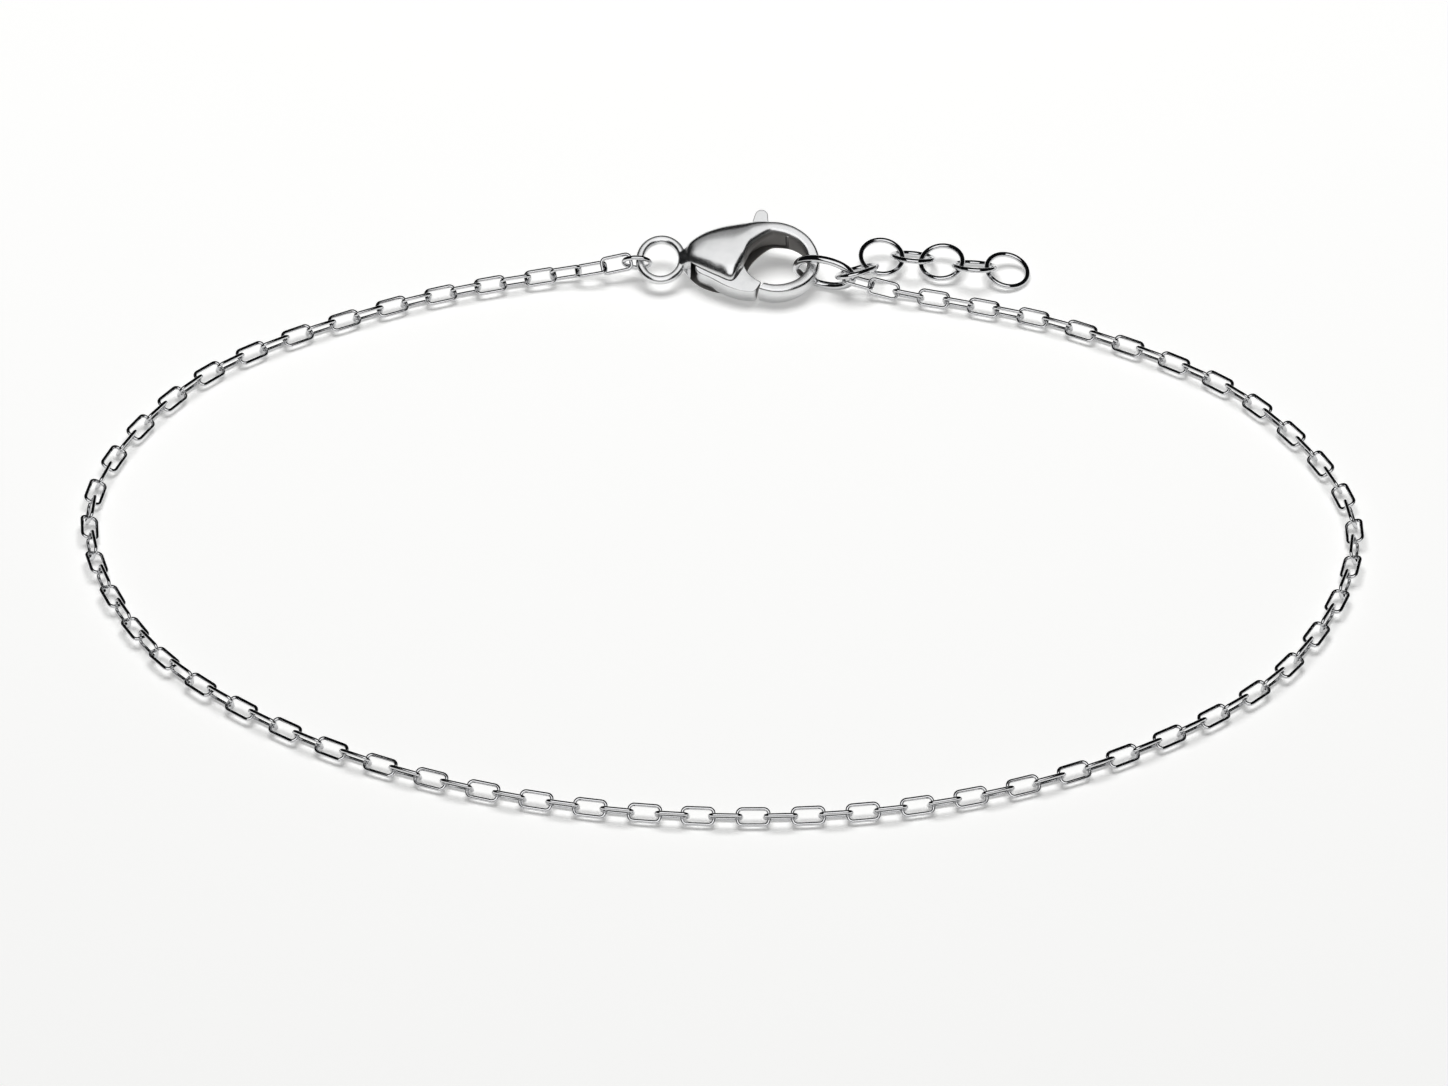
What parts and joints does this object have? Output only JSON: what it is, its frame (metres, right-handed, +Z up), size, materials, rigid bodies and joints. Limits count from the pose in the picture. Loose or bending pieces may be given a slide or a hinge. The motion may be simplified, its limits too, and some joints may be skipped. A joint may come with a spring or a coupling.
{
  "type": "chain bracelet",
  "caption": "Fine silver chain bracelet of long rectangular links laid in an oval, closed by a lobster clasp, with a short tail of round extension rings.",
  "frame": {"origin": "middle of the bracelet's box on the surface it lies on", "axes": "+X along the long way of the oval, +Y towards the clasp, +Z up"},
  "size_m": [0.0664, 0.0454, 0.0026],
  "materials": {
    "chain_silver": "polished sterling silver wire",
    "clasp_silver": "polished cast sterling silver",
    "ring_silver": "polished sterling silver wire"
  },
  "bodies": {
    "bracelet": {"chain_right": "chain_silver", "chain_left": "chain_silver", "clasp_body": "clasp_silver", "clasp_pin": "clasp_silver", "jump_ring": "ring_silver", "connector_ring": "ring_silver", "extension_ring_1": "ring_silver", "extension_ring_2": "ring_silver", "extension_ring_3": "ring_silver", "extension_ring_4": "ring_silver", "extension_ring_5": "ring_silver", "extension_ring_6": "ring_silver"},
    "lever": {"clasp_lever": "clasp_silver"}
  },
  "joints": [
    {"name": "lever_hinge", "type": "hinge", "parent": "bracelet", "child": "lever", "pos_m": [-0.00072, 0.01891, 0.00103], "axis": [-0.0122, -0.2416, 0.9703], "range_deg": [0, 20], "stiffness_Nm_per_rad": 0.0002}
  ]
}
